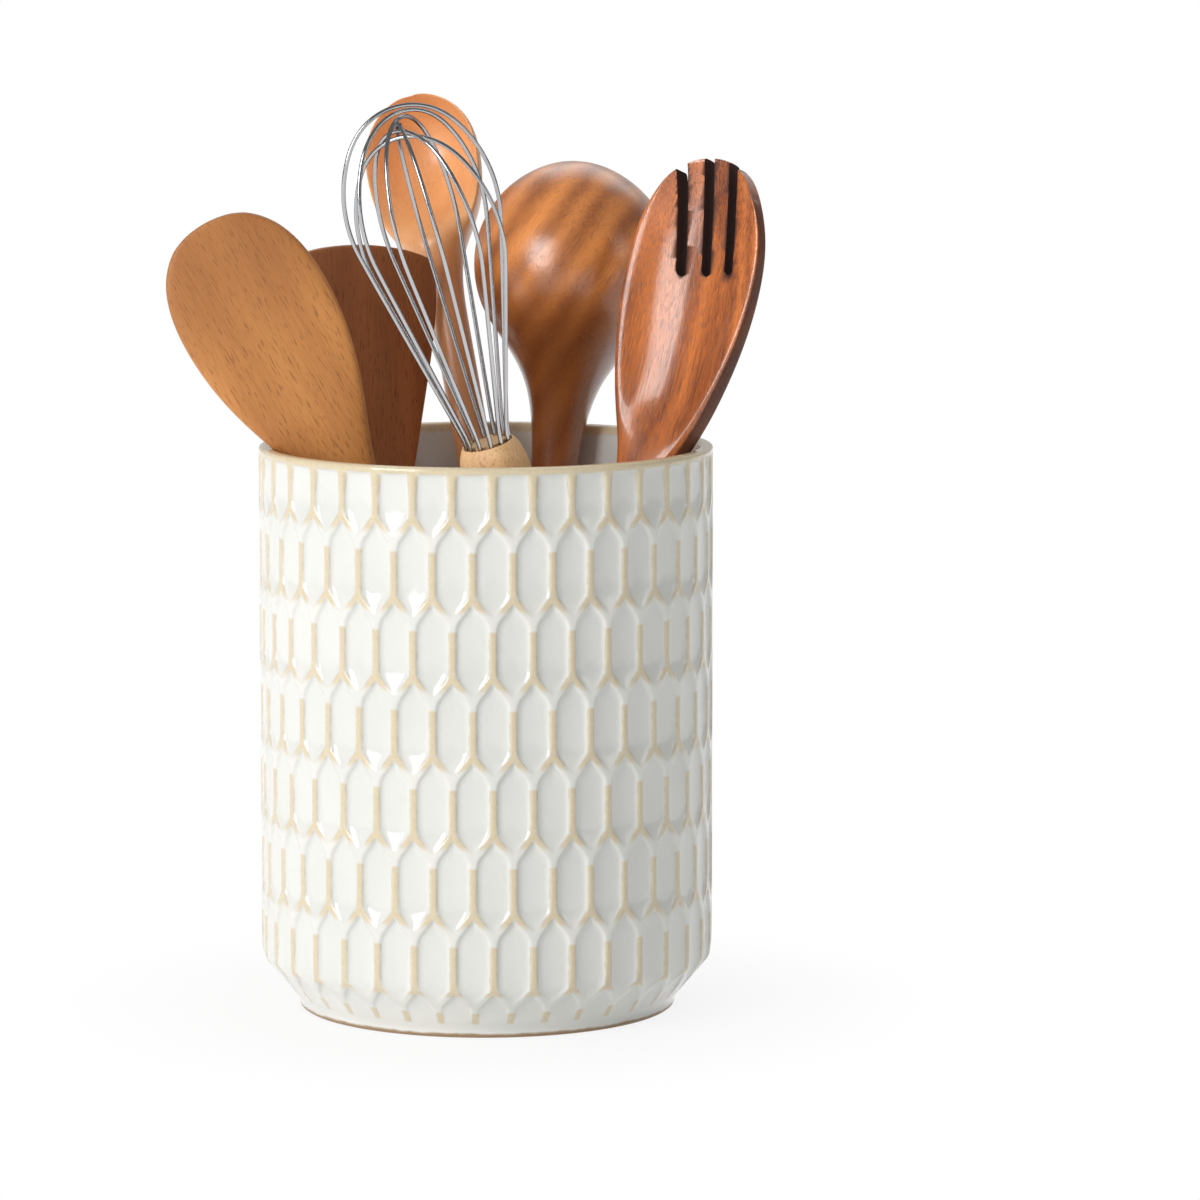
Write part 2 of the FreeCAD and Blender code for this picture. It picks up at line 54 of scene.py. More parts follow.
OUTER_SKIN = 3  # what lies this near to the wall's outside belongs to it
RIDGE_HALF = 0.9
RING_WIDTH, RING_SHARE = 0.6, 0.62  # of the ring that rounds a cell's side, the share of its depth
FLOOR_INSET, FLOOR_DEPTH = 1.0, 1.25
SHOULDER_RISE, SHOULDER_OUT = 0.87, 3.5  # of the fold where a cell's floor begins to rise
FLOOR_SLOPE, FOLD_CREASE = 1.13, 0.9
CELL_PITCH = 2 * math.pi * WALL_RADIUS / COLUMNS
CELL_HALF = (ROW_PITCH + LEG_HEIGHT) / 2
SIDE_HALF = (ROW_PITCH - LEG_HEIGHT) / 2
TOP_CELL = LOWEST_SPLIT + (ROWS - 1) * ROW_PITCH - CELL_HALF
BEVEL_DROP, BEVEL_RUN = WALL_FOOT - FOOT_HEIGHT, WALL_RADIUS - FOOT_RADIUS
BEVEL_LENGTH = math.hypot(BEVEL_DROP, BEVEL_RUN)
FIRST_TURN = math.radians(RELIEF_TURN - 90)

# The flat panel marks its rings and floors by these depths, until it is wrapped round the pot.
RING_MARK, FLOOR_MARK = -1.0, -2.0
ON_RING, ON_FLOOR = RING_MARK / 2, (RING_MARK + FLOOR_MARK) / 2

# Radius and height of the rings over the rim and down the inside, and of those round the foot
INSIDE_RINGS = [
    (73.35, 182.5), (73.0, 182.95), (71.9, 183.25), (70.4, 183.25), (69.1, 182.7), (68.75, 181.4),
    (68.75, 176), (68.75, 120), (68.75, 60), (68.75, 22), (67.8, 15.5), (64.5, 10.8), (59, 9.0),
    (30, 9.0),
]
FOOT_RINGS = [
    (61.9, 3.6), (61.3, 2.6), (61.2, 1.0), (60.6, 0.05), (58.5, 0.0), (56, 0.35), (30, 0.4),
]


def begin(add, **values):
    """A new primitive by itself, in edit mode with all of it selected."""
    if bpy.context.object and bpy.context.object.mode != "OBJECT":
        bpy.ops.object.mode_set(mode="OBJECT")
    bpy.ops.object.select_all(action="DESELECT")
    add(**values)
    bpy.ops.object.mode_set(mode="EDIT")
    bpy.ops.mesh.select_mode(type="VERT")
    return bpy.context.object


def pick(piece, wanted):
    """Selects the points of a piece in edit mode that are wanted, and what lies between them."""
    bpy.ops.mesh.select_all(action="DESELECT")
    mesh = bmesh.from_edit_mesh(piece.data)
    for point in mesh.verts:
        point.select = wanted(point)
    mesh.select_flush(True)
    bmesh.update_edit_mesh(piece.data)


def alone(piece):
    """Selects one piece by itself and makes it the active one."""
    bpy.ops.object.select_all(action="DESELECT")
    piece.select_set(True)
    bpy.context.view_layer.objects.active = piece


def finish_by(piece, kind, **values):
    """Gives a piece a modifier and applies it."""
    if piece.mode != "OBJECT":
        bpy.ops.object.mode_set(mode="OBJECT")
    bpy.context.view_layer.objects.active = piece
    made = piece.modifiers.new(kind.lower(), kind)
    for key, value in values.items():
        setattr(made, key, value)
    bpy.ops.object.modifier_apply(modifier=made.name)


def smoothed(piece, levels, **more):
    """Subdivides a piece's surface and shades it smooth."""
    finish_by(piece, "SUBSURF", levels=levels, render_levels=levels, **more)
    alone(piece)
    bpy.ops.object.shade_smooth()


def settled(piece):
    """Puts a piece's place, turn and size into its mesh."""
    alone(piece)
    bpy.ops.object.transform_apply(location=True, rotation=True, scale=True)


def kept_on(piece, name, values):
    """Keeps a number at each point of a piece, for its finish to read."""
    made = piece.data.attributes.new(name, "FLOAT", "POINT")
    made.data.foreach_set("value", values)


def ramp(low, high, value):
    """0 at low and 1 at high, eased."""
    share = min(1, max(0, (value - low) / (high - low)))
    return share * share * (3 - 2 * share)


def on_the_wall(point):
    """A point of the flat panel, wrapped round the pot."""
    turn = FIRST_TURN + (point.x + CELL_PITCH / 2) / WALL_RADIUS
    along = point.y + TOP_CELL
    if along > WALL_FOOT:
        radius, height = WALL_RADIUS + point.z, along
    else:
        share = (WALL_FOOT - along) / BEVEL_LENGTH
        out = point.z * ramp(RELIEF_FOOT - 2, WALL_FOOT, along)
        radius = WALL_RADIUS - BEVEL_RUN * share + out * BEVEL_DROP / BEVEL_LENGTH
        height = WALL_FOOT - BEVEL_DROP * share - out * BEVEL_RUN / BEVEL_LENGTH
    return Vector((radius * math.cos(turn), radius * math.sin(turn), height))


def in_its_cell(place):
    """Across and up from the middle of the cell that a point of the flat panel lies in."""
    for row in (math.floor(-place.y / ROW_PITCH), math.ceil(-place.y / ROW_PITCH)):
        across = place.x + (CELL_PITCH / 2 if row % 2 else 0)
        across -= CELL_PITCH * round(across / CELL_PITCH)
        up = place.y + row * ROW_PITCH
        if abs(up) < CELL_HALF - abs(across) * 2 * LEG_HEIGHT / CELL_PITCH:
            break
    return across, up


def sunk(place):
    """Depth of a point of the panel. A cell's floor is flat down to its fold, and from there it
    rises to the joint of the ridges below."""
    if place.z > ON_RING:
        return 0
    rise = (SHOULDER_RISE - SIDE_HALF - in_its_cell(place)[1]) / LEG_HEIGHT
    depth = FLOOR_DEPTH * (RING_SHARE if place.z > ON_FLOOR else 1)
    return depth * (1 - min(1, max(0, FLOOR_SLOPE * rise)))


def lower_shoulder(point):
    """Whether a point is a corner of a cell's floor, of the two that its fold runs between."""
    across, up = in_its_cell(point.co)
    at_fold = abs(up + SIDE_HALF - SHOULDER_RISE) < 0.5
    return point.co.z < ON_FLOOR and abs(across) > SHOULDER_OUT and at_fold


# A hexagon is drawn out to one cell, copied to a second row and repeated to the whole flat panel.
panel = begin(bpy.ops.mesh.primitive_circle_add, vertices=6, radius=1, fill_type="NGON")
panel.name = "crock_glazed"
bpy.ops.transform.resize(value=(CELL_PITCH / math.sqrt(3), 2 * SIDE_HALF, 1))
pick(panel, lambda point: abs(point.co.y) > SIDE_HALF * 1.5)
bpy.ops.transform.resize(value=(1, CELL_HALF / (2 * SIDE_HALF), 1))
bpy.ops.mesh.select_all(action="SELECT")
bpy.ops.mesh.duplicate_move(TRANSFORM_OT_translate={"value": (-CELL_PITCH / 2, -ROW_PITCH, 0)})
repeat = {"use_relative_offset": False, "use_constant_offset": True}
for count, step in ((COLUMNS, (CELL_PITCH, 0, 0)), (ROWS // 2, (0, -2 * ROW_PITCH, 0))):
    finish_by(panel, "ARRAY", count=count, constant_offset_displace=step, **repeat)
bpy.ops.object.mode_set(mode="EDIT")
bpy.ops.mesh.select_all(action="SELECT")
bpy.ops.mesh.remove_doubles(threshold=0.01)
for end, side in ((RELIEF_TOP, 1), (RELIEF_FOOT, -1)):
    bpy.ops.mesh.select_all(action="SELECT")
    cut = {"plane_co": (0, end - TOP_CELL, 0), "plane_no": (0, side, 0)}
    bpy.ops.mesh.bisect(clear_outer=True, **cut)
bpy.ops.mesh.select_all(action="SELECT")
bpy.ops.mesh.subdivide(number_cuts=2)
bpy.ops.mesh.inset(thickness=RIDGE_HALF, depth=0.0, use_individual=True)
bpy.ops.mesh.inset(thickness=RING_WIDTH, depth=RING_MARK, use_individual=True)
bpy.ops.mesh.inset(thickness=FLOOR_INSET, depth=FLOOR_MARK - RING_MARK, use_individual=True)
pick(panel, lower_shoulder)
bpy.ops.mesh.vert_connect()
sheet = bmesh.from_edit_mesh(panel.data)
crease = sheet.edges.layers.float.new("crease_edge")
for line in sheet.edges:
    if all(lower_shoulder(point) for point in line.verts):
        line[crease] = FOLD_CREASE
for point in sheet.verts:
    point.co = on_the_wall(Vector((point.co.x, point.co.y, -sunk(point.co))))
bmesh.update_edit_mesh(panel.data)
bpy.ops.mesh.select_all(action="SELECT")
bpy.ops.mesh.remove_doubles(threshold=0.01)


def ring_on(piece, radius, height):
    """Extrudes the selected loop to a ring of this size round the upright axis."""
    bpy.ops.mesh.extrude_region_move()
    mesh = bmesh.from_edit_mesh(piece.data)
    loop = [point.co for point in mesh.verts if point.select]
    share = radius / (sum(place.xy.length for place in loop) / len(loop))
    rise = height - sum(place.z for place in loop) / len(loop)
    bpy.ops.transform.resize(value=(share, share, 1), center_override=(0, 0, 0))
    bpy.ops.transform.translate(value=(0, 0, rise))


for side, rings in ((1, INSIDE_RINGS), (-1, FOOT_RINGS)):
    pick(panel, lambda point: point.is_boundary and side * (point.co.z - RELIEF_TOP / 2) > 0)
    for radius, height in rings:
        ring_on(panel, radius, height)
    bpy.ops.mesh.edge_face_add()
bpy.ops.mesh.select_all(action="SELECT")
bpy.ops.mesh.normals_make_consistent(inside=False)
smoothed(panel, 1, use_limit_surface=False)

# What the glaze reads: the pressed outside, the rim that it has run off, and where it lies thick
OUTER_BARE, INNER_BARE = (0.9, 180.3), (0.75, 179)  # share at the rim's edge, height of its start
POOL_DEPTH, POOL_TOP = (0.25, 1.2), 181
pressed, bare_rim, pooled = [], [], []
for point in panel.data.vertices:
    out, height = point.co.xy.length, point.co.z
    wall = WALL_RADIUS - max(0, WALL_FOOT - height) / BEVEL_DROP * BEVEL_RUN
    outside = out > wall - OUTER_SKIN and height > FOOT_HEIGHT
    share, start = OUTER_BARE if outside else INNER_BARE
    pressed.append(1 if outside else 0)
    bare_rim.append(share * ramp(start, RIM_EDGE, height))
    pooled.append(ramp(*POOL_DEPTH, wall - out) if outside and height < POOL_TOP else 0)
kept_on(panel, "pressed", pressed)
kept_on(panel, "bare_rim", bare_rim)
kept_on(panel, "pooled", pooled)
panel.scale = (MILLIMETRE, MILLIMETRE, MILLIMETRE)
settled(panel)


def fill(tree, node, inputs):
    """Links the sockets among a node's inputs, and sets the plain values."""
    for key, value in inputs.items():
        if isinstance(value, bpy.types.NodeSocket):
            tree.links.new(value, node.inputs[key])
        else:
            node.inputs[key].default_value = value


def put(tree, kind, inputs=None, **settings):
    """A new node with its settings and its inputs."""
    made = tree.nodes.new(kind)
    for key, value in settings.items():
        setattr(made, key, value)
    fill(tree, made, inputs or {})
    return made


def sums(tree, operation, one, other=0):
    """One sum on two values."""
    return put(tree, "ShaderNodeMath", {0: one, 1: other}, operation=operation).outputs[0]


def plus(tree, one, other):
    return sums(tree, "ADD", one, other)


def less(tree, one, other):
    return sums(tree, "SUBTRACT", one, other)


def times(tree, one, other):
    return sums(tree, "MULTIPLY", one, other)


def spread(tree, value, low, high, first=0.0, last=1.0):
    """Maps a value from low..high to first..last, eased at both ends."""
    inputs = {"Value": value, "From Min": low, "From Max": high, "To Min": first, "To Max": last}
    return put(tree, "ShaderNodeMapRange", inputs, interpolation_type="SMOOTHSTEP").outputs[0]


def mixed(tree, share, one, other):
    """Mixes two colours; a Mix node has its colours at inputs 6 and 7 and at output 2."""
    return put(tree, "ShaderNodeMix", {0: share, 6: one, 7: other}, data_type="RGBA").outputs[2]


def noise(tree, place, scale, detail=2.0, roughness=0.5):
    """Soft noise of so many lumps to a unit of length."""
    inputs = {"Vector": place, "Scale": scale, "Detail": detail, "Roughness": roughness}
    return put(tree, "ShaderNodeTexNoise", inputs).outputs["Fac"]


def bumped(tree, height, strength, distance):
    """The normal of a surface with this height on it."""
    inputs = {"Height": height, "Strength": strength, "Distance": distance}
    return put(tree, "ShaderNodeBump", inputs).outputs[0]


def finish_of(name):
    """A new material with its tree and its shader."""
    made = bpy.data.materials.new(name)
    made.use_nodes = True
    return made, made.node_tree, made.node_tree.nodes["Principled BSDF"]


def place_on(tree):
    """The place on a piece, in metres."""
    return put(tree, "ShaderNodeTexCoord").outputs["Object"]


def parts_of(tree, place):
    """The X, Y and Z of a place."""
    return put(tree, "ShaderNodeSeparateXYZ", {0: place}).outputs


def of_piece(tree, name):
    """A number that a piece keeps at its points."""
    return put(tree, "ShaderNodeAttribute", attribute_name=name).outputs["Fac"]


# Where the glaze is gone. Each pair runs from where it is whole to where the body is bare.
BARE_SIDE = 1.7, 0.5  # millimetres from a ridge's middle line
BARE_HEAD = 1.8, 3.0  # millimetres under the head of an upright ridge
BARE_FOOT = 0.6, 1.8  # height up the unrolled wall
BARE_LEG = 0.72, 0.34  # share of a leg's height down from its split
BEVEL_LEG = 0.25  # how much sooner a leg on the bevel is glazed
LEG_SLANT, LEG_TAPER = 0.78, 0.45
RUN_WAVER = 0.5
RIM_RUN, RIM_RUN_WIDTH = 171, 0.6  # the ridges' bare tops widen from here up to the rim
BROWN_SIDE = 0.85, 1.15  # millimetres from the middle line, from tan to a brown line that is partly thin glaze and partly painted shade
BROWN_TOP = 180.5, 178.5
RIM_WAVER, BARE_RIM = 0.4, (0.25, 0.7)
FOOT_WAVER, FOOT_GLAZE = 0.0012, (0.0026, 0.0016)  # metres up from the table

TAN_DARK, TAN_LIGHT = (0.66, 0.54, 0.35, 1), (0.78, 0.685, 0.50, 1)
EDGE_AND_SHADE_BROWN, FOOT_BROWN = (0.38, 0.255, 0.115, 1), (0.36, 0.23, 0.12, 1)
THIN_WHITE, POOLED_WHITE = (0.82, 0.81, 0.77, 1), (0.80, 0.80, 0.775, 1)
CLOUDED_WHITE = (0.77, 0.775, 0.745, 1)


def bare_ridges(tree, place, drift):
    """Where the glaze has run off the ridges, down each one to its split and out along its two
    legs, and how much of that is the thin brown line along its edges, partly where the glaze thins
    and partly painted shade of the ridges' steep side walls."""
    part = parts_of(tree, place)
    high = times(tree, part["Z"], 1 / MILLIMETRE)
    below = sums(tree, "MAXIMUM", less(tree, WALL_FOOT, high))
    along = less(tree, high, times(tree, below, BEVEL_LENGTH / BEVEL_DROP - 1))
    turn = less(tree, sums(tree, "ARCTAN2", part["Y"], part["X"]), FIRST_TURN)
    column = times(tree, turn, COLUMNS / (2 * math.pi))
    level = sums(tree, "DIVIDE", less(tree, along, LOWEST_SPLIT), ROW_PITCH)
    row = sums(tree, "FLOOR", level)
    rise = times(tree, less(tree, level, row), ROW_PITCH)
    odd = sums(tree, "FLOORED_MODULO", row, 2)

    def across(shift):
        """Millimetres to the nearest ridge of a row that is shifted by half a cell, or isn't."""
        spot = less(tree, column, times(tree, shift, 0.5))
        spot = less(tree, spot, sums(tree, "ROUND", spot))
        return times(tree, sums(tree, "ABSOLUTE", spot), CELL_PITCH)

    upright = ROW_PITCH - LEG_HEIGHT
    on_leg = sums(tree, "GREATER_THAN", rise, upright)
    fall = sums(tree, "DIVIDE", less(tree, ROW_PITCH, rise), LEG_HEIGHT)
    leg_line = times(tree, fall, CELL_PITCH / 2)
    from_leg = sums(tree, "ABSOLUTE", less(tree, across(less(tree, 1, odd)), leg_line))
    from_leg = plus(tree, times(tree, from_leg, LEG_SLANT), times(tree, fall, LEG_TAPER))
    from_upright = across(odd)
    away = plus(tree, from_upright, times(tree, on_leg, less(tree, from_leg, from_upright)))
    away = plus(tree, away, times(tree, less(tree, drift, 0.5), RUN_WAVER))
    away = less(tree, away, spread(tree, along, RIM_RUN, RIM_EDGE, 0, RIM_RUN_WIDTH))
    down = spread(tree, rise, *(upright - under for under in BARE_HEAD))
    in_top_row = sums(tree, "GREATER_THAN", row, ROWS - 2.5)
    down = sums(tree, "MAXIMUM", down, in_top_row)
    down = times(tree, down, spread(tree, along, *BARE_FOOT))
    on_bevel = sums(tree, "LESS_THAN", row, -0.5)
    out = spread(tree, plus(tree, fall, times(tree, on_bevel, BEVEL_LEG)), *BARE_LEG)
    strength = plus(tree, down, times(tree, on_leg, less(tree, out, down)))
    bare = times(tree, strength, spread(tree, away, *BARE_SIDE))
    edge = times(tree, spread(tree, away, *BROWN_SIDE), spread(tree, along, *BROWN_TOP))
    return bare, times(tree, strength, edge)


glaze, tree, shader = finish_of("white_glaze")
place = place_on(tree)
drift = noise(tree, place, 260, 4)
ridges, edge = bare_ridges(tree, place, drift)
rim = plus(tree, of_piece(tree, "bare_rim"), times(tree, less(tree, drift, 0.5), RIM_WAVER))
bare = times(tree, ridges, of_piece(tree, "pressed"))
bare = sums(tree, "MAXIMUM", bare, spread(tree, rim, *BARE_RIM))
body_tan = mixed(tree, noise(tree, place, 900, 3), TAN_DARK, TAN_LIGHT)
blotches = spread(tree, noise(tree, place, 300, 3), 0.35, 0.65, 0.15, 0.85)
# Partly painted shade: a brown line along both edges of each bare ridge, partly where the glaze
# thins.
body_tan = mixed(tree, times(tree, edge, blotches), body_tan, EDGE_AND_SHADE_BROWN)
white = mixed(tree, of_piece(tree, "pooled"), THIN_WHITE, POOLED_WHITE)
white = mixed(tree, spread(tree, noise(tree, place, 35, 3), 0.35, 0.7), white, CLOUDED_WHITE)
coloured = mixed(tree, bare, white, body_tan)
height = plus(tree, parts_of(tree, place)["Z"], times(tree, drift, FOOT_WAVER))
foot_bare = spread(tree, height, *FOOT_GLAZE)
coloured = mixed(tree, foot_bare, coloured, FOOT_BROWN)
rough = plus(tree, spread(tree, drift, 0.3, 0.8, 0.09, 0.17), times(tree, foot_bare, 0.5))
ripple = plus(tree, noise(tree, place, 90), times(tree, drift, 0.15))
fill(tree, shader, {
    "Base Color": coloured, "Roughness": rough, "Normal": bumped(tree, ripple, 0.25, 0.0008),
    "Coat Weight": 0.3, "Coat Roughness": 0.05,
})


def cover(piece, finish):
    """Gives a piece one finish all over."""
    piece.data.materials.clear()
    piece.data.materials.append(finish)


def dress(piece, finish, body, slot, *nodes):
    """The finish and the place of a piece in the frame."""
    cover(piece, finish)
    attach(piece, body)
    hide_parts(*nodes)


dress(panel, glaze, "crock", "glaze", "crock")


# The paddle spoon is one flat piece of beech, sawn to its outline, thinned to the tip, rounded over
# and oiled. It leans to the left in front of the rest.
def drawn_out(name, section, stations, around):
    """A billet drawn out along Z: the end face is extruded and shaped at one station after another,
    and at last split into strips from front to back, so that it keeps its curve."""
    piece = begin(bpy.ops.mesh.primitive_circle_add, vertices=around, radius=1, fill_type="NGON")
    piece.name = name
    mesh = bmesh.from_edit_mesh(piece.data)
    layer = mesh.verts.layers.float.new("turn")
    for point in mesh.verts:
        point[layer] = math.atan2(point.co.y, point.co.x)
    bmesh.update_edit_mesh(piece.data)
    swell = 3 / (2 + math.cos(2 * math.pi / around))  # what smoothing takes off a ring
    for index, station in enumerate(stations):
        if index:
            bpy.ops.mesh.extrude_region_move()
        mesh = bmesh.from_edit_mesh(piece.data)
        layer = mesh.verts.layers.float["turn"]
        for point in mesh.verts:
            if point.select:
                across, through, along = section(point[layer], *station)
                point.co = (across * swell, through * swell, along)
        bmesh.update_edit_mesh(piece.data)
    end = {round(point[layer], 3): point for point in mesh.verts if point.select}
    for turn, point in end.items():
        if 0.01 < turn < math.pi - 0.01:
            bmesh.ops.connect_verts(mesh, verts=[point, end[-turn]])
    bmesh.update_edit_mesh(piece.data)
    bpy.ops.mesh.select_all(action="SELECT")
    bpy.ops.mesh.normals_make_consistent(inside=False)
    if bmesh.from_edit_mesh(piece.data).calc_volume(signed=True) < 0:
        bpy.ops.mesh.flip_normals()
    return piece


def flat_section(turn, along, half, thick, square=2, bow=0, dish=0, reach=1):
    """A rounded slab, by half its width and half its thickness: square 2 is round, and more is
    flatter. Bow lifts its middle, and dish hollows its front."""
    c, s = math.cos(turn), math.sin(turn)
    across = half * math.copysign(abs(c) ** (2 / square), c)
    through = thick * math.copysign(abs(s) ** (2 / square), s)
    if s < 0 and dish:
        through += dish * max(0, 1 - (across / reach) ** 2)
    return across, through, along + bow * (1 - (across / half) ** 2)


def stand_in(piece, foot, along, roll):
    """Keeps the piece's own lengthwise coordinates for its grain, then stands it in the crock."""
    places = [0.0] * (3 * len(piece.data.vertices))
    piece.data.vertices.foreach_get("co", places)
    grain = piece.data.attributes.new("grain", "FLOAT_VECTOR", "POINT")
    grain.data.foreach_set("vector", places)
    lean = Vector((0, 0, 1)).rotation_difference(Vector(along)).to_matrix().to_4x4()
    turn = Matrix.Rotation(math.radians(roll), 4, "Z")
    stand = Matrix.Translation(Vector(foot) * MILLIMETRE)
    piece.matrix_world = stand @ lean @ turn @ Matrix.Scale(MILLIMETRE, 4)
    settled(piece)


def round_foot(radius, values):
    """The first stations of a round handle, its domed foot, with so many values in each."""
    shares = [(0.0, 0.5), (0.1, 0.75), (0.45, 0.96), (1.3, 1.0)]
    return [(radius * rise, radius * out, radius * out)[:values] for rise, out in shares]


# Each station is its height, half width and half thickness, then how square and bowed it is.
paddle = drawn_out("paddle_spoon_beech", flat_section, round_foot(6, 3) + [
    (80, 6, 6), (150, 6, 6), (166, 6.1, 5.9), (177, 6.9, 5.4, 2.2), (187, 9.0, 4.9, 2.8),
    (200, 13.8, 4.3, 3.6), (214, 19.4, 3.8, 4.5), (230.7, 24.0, 3.4, 5), (247.5, 25.4, 3.0, 5),
    (259, 24.4, 2.8, 5, 0.6), (266, 22.4, 2.7, 5, 2.6), (271, 20.0, 2.65, 4.5, 5.6),
    (275, 16.8, 2.5, 4.5, 6.1), (277.4, 14.0, 2.2, 4, 4.1), (278.2, 12.8, 1.7, 4, 3.4),
], 24)
smoothed(paddle, 2)
stand_in(paddle, (48.04, -4.78, 10.4), (-0.48981, -0.03589, 0.87109), 0)

WAVE_BAND = 0.314  # the width of a wave texture's bands at a scale of 1


def wood_group():
    """Wood in its own lengthwise millimetres: growth rings, long fibres and short dark pores."""
    group = bpy.data.node_groups.new("wood_grain", "ShaderNodeTree")
    for name, kind in (
        ("Place", "Vector"), ("Light", "Color"), ("Dark", "Color"), ("Pore", "Color"),
        ("Ring Width", "Float"), ("Rings", "Float"), ("Wander", "Float"), ("Fibres", "Float"),
        ("Pores", "Float"), ("Polish", "Float"),
    ):
        group.interface.new_socket(name, in_out="INPUT", socket_type=f"NodeSocket{kind}")
    for name, kind in (("Color", "Color"), ("Roughness", "Float"), ("Height", "Float")):
        group.interface.new_socket(name, in_out="OUTPUT", socket_type=f"NodeSocket{kind}")
    given = group.nodes.new("NodeGroupInput").outputs
    result = group.nodes.new("NodeGroupOutput")

    def moved(operation, inputs):
        """One sum on places."""
        return put(group, "ShaderNodeVectorMath", inputs, operation=operation).outputs[0]

    def stretched(across, along):
        """The place at a scale of its own across and along the grain."""
        return moved("MULTIPLY", {0: given["Place"], 1: (across, across, along)})

    slow = {"Vector": stretched(0.045, 0.014), "Scale": 1.0, "Detail": 2.0}
    sway = put(group, "ShaderNodeTexNoise", slow).outputs["Color"]
    sway = moved("SUBTRACT", {0: sway, 1: (0.5, 0.5, 0.5)})
    sway = moved("SCALE", {0: sway, "Scale": given["Wander"]})
    bands = put(group, "ShaderNodeTexWave", {
        "Vector": moved("ADD", {0: given["Place"], 1: sway}),
        "Scale": sums(group, "DIVIDE", WAVE_BAND, given["Ring Width"]),
        "Distortion": 1.2, "Detail": 2.0, "Detail Scale": 1.5,
    }, bands_direction="X", wave_profile="SIN")
    fibres = noise(group, stretched(1.9, 0.045), 1.0, 4, 0.62)
    patches = noise(group, stretched(0.09, 0.02), 1.0, 2)
    pores = spread(group, noise(group, stretched(1.9, 0.24), 1.0, 1.0), 0.585, 0.70)
    pores = times(group, pores, given["Pores"])
    streaks = times(group, spread(group, fibres, 0.3, 0.75), given["Fibres"])
    darker = plus(group, times(group, bands.outputs["Fac"], given["Rings"]), streaks)
    darker = plus(group, darker, spread(group, patches, 0.35, 0.75, -0.08, 0.22))
    wood = mixed(group, darker, given["Light"], given["Dark"])
    rough = plus(group, given["Polish"], spread(group, fibres, 0.3, 0.7, -0.05, 0.07))
    fill(group, result, {
        "Color": mixed(group, pores, wood, given["Pore"]),
        "Roughness": plus(group, rough, times(group, pores, 0.2)),
        "Height": less(group, times(group, fibres, 0.35), times(group, pores, 0.6)),
    })
    return group


wood_grain = wood_group()


def wooden(name, turn, coat, darker_along=None, haze=0.16, **values):
    """A wood finish: its grain turned as it was sawn, with its own colours and polish. Its colour
    may go over by a share to a darker one, from one place along it to another, which on the ladle
    and the deep spoon is painted shade and on the paddle and the turner a plain darkening towards
    the top."""
    made, tree, shader = finish_of(name)
    place = put(tree, "ShaderNodeAttribute", attribute_name="grain").outputs["Vector"]
    angles = tuple(math.radians(angle) for angle in turn)
    turned = put(tree, "ShaderNodeMapping", {"Vector": place, "Rotation": angles}).outputs[0]
    grain = put(tree, "ShaderNodeGroup", node_tree=wood_grain)
    fill(tree, grain, {"Place": turned})
    fill(tree, grain, {key.replace("_", " "): value for key, value in values.items()})
    coloured = grain.outputs["Color"]
    if darker_along:
        first, last, share, darker = darker_along
        darkening = spread(tree, parts_of(tree, place)["Z"], first, last, 0, share)
        coloured = mixed(tree, darkening, coloured, darker)
    fill(tree, shader, {
        "Base Color": coloured, "Roughness": grain.outputs["Roughness"],
        "Normal": bumped(tree, grain.outputs["Height"], 0.35, 0.0004),
        "Coat Weight": coat, "Coat Roughness": haze,
    })
    return made


pale_beech = wooden(
    "pale_beech", (0, 0, 12), 0.0, (228, 268, 0.5, (0.33, 0.115, 0.03, 1)),
    Light=(0.68, 0.285, 0.078, 1), Dark=(0.45, 0.165, 0.04, 1), Pore=(0.24, 0.08, 0.02, 1),
    Ring_Width=21.0, Rings=0.35, Wander=16.0, Fibres=0.45, Pores=0.55, Polish=0.46,
)
dress(paddle, pale_beech, "paddle_spoon", "pale_beech", "paddle_spoon")


# The turner is a broad flat blade of darker beech with rounded corners, thinned to its edge. It
# stands behind the paddle spoon.
turner = drawn_out("turner_beech", flat_section, round_foot(6.5, 3) + [
    (40, 6.5, 6.5), (68, 6.6, 6.3), (88, 7.2, 5.6, 2.3), (107, 9.3, 4.9, 3), (123, 12.6, 4.3, 3.8),
    (140.3, 16.6, 3.7, 4.5), (162, 21.0, 3.1, 5), (182, 25.2, 2.7, 5.5), (200, 28.9, 2.3, 6),
    (214, 30.9, 2.1, 6), (222.5, 30.9, 1.9, 6), (227.5, 30.4, 1.8, 6, 1.2),
    (230.8, 28.4, 1.7, 6, 4.0), (231.8, 26.8, 1.3, 5, 4.2),
], 24)
smoothed(turner, 2)
stand_in(turner, (-41.04, 29.12, 9.59), (0.00146, 0.09556, 0.99542), 40)
brown_beech = wooden(
    "brown_beech", (0, 0, 25), 0.05, (185, 225, 0.35, (0.20, 0.063, 0.018, 1)),
    Light=(0.50, 0.165, 0.044, 1), Dark=(0.32, 0.096, 0.025, 1), Pore=(0.13, 0.036, 0.01, 1),
    Ring_Width=17.0, Rings=0.35, Wander=12.0, Fibres=0.4, Pores=0.55, Polish=0.42,
)
dress(turner, brown_beech, "turner", "brown_beech", "turner")


# The deep spoon is carved from one piece of orange cherry, its egg-shaped bowl hollowed to a thin
# wall, then oiled to a sheen. It stands at the back with its hollow to the front.
LIP_SLOPE = 2.6  # how soon inside the rim the wall has its full thickness


def bowl_section(side):
    """A section of a hollowed tool that is open at the front (-1) or the back (1)."""
    def section(turn, along, half, rim=0.0, hollow=None, wall=0.0):
        c, s = math.cos(turn), math.sin(turn)
        if s * side < 0:
            return half * c, -side * (half * abs(s) - rim * (1 - abs(s))), along
        depth = -half if hollow is None else hollow
        inside = half - wall * min(1, LIP_SLOPE * abs(s))
        return inside * c, side * (rim - depth * abs(s)), along
    return section


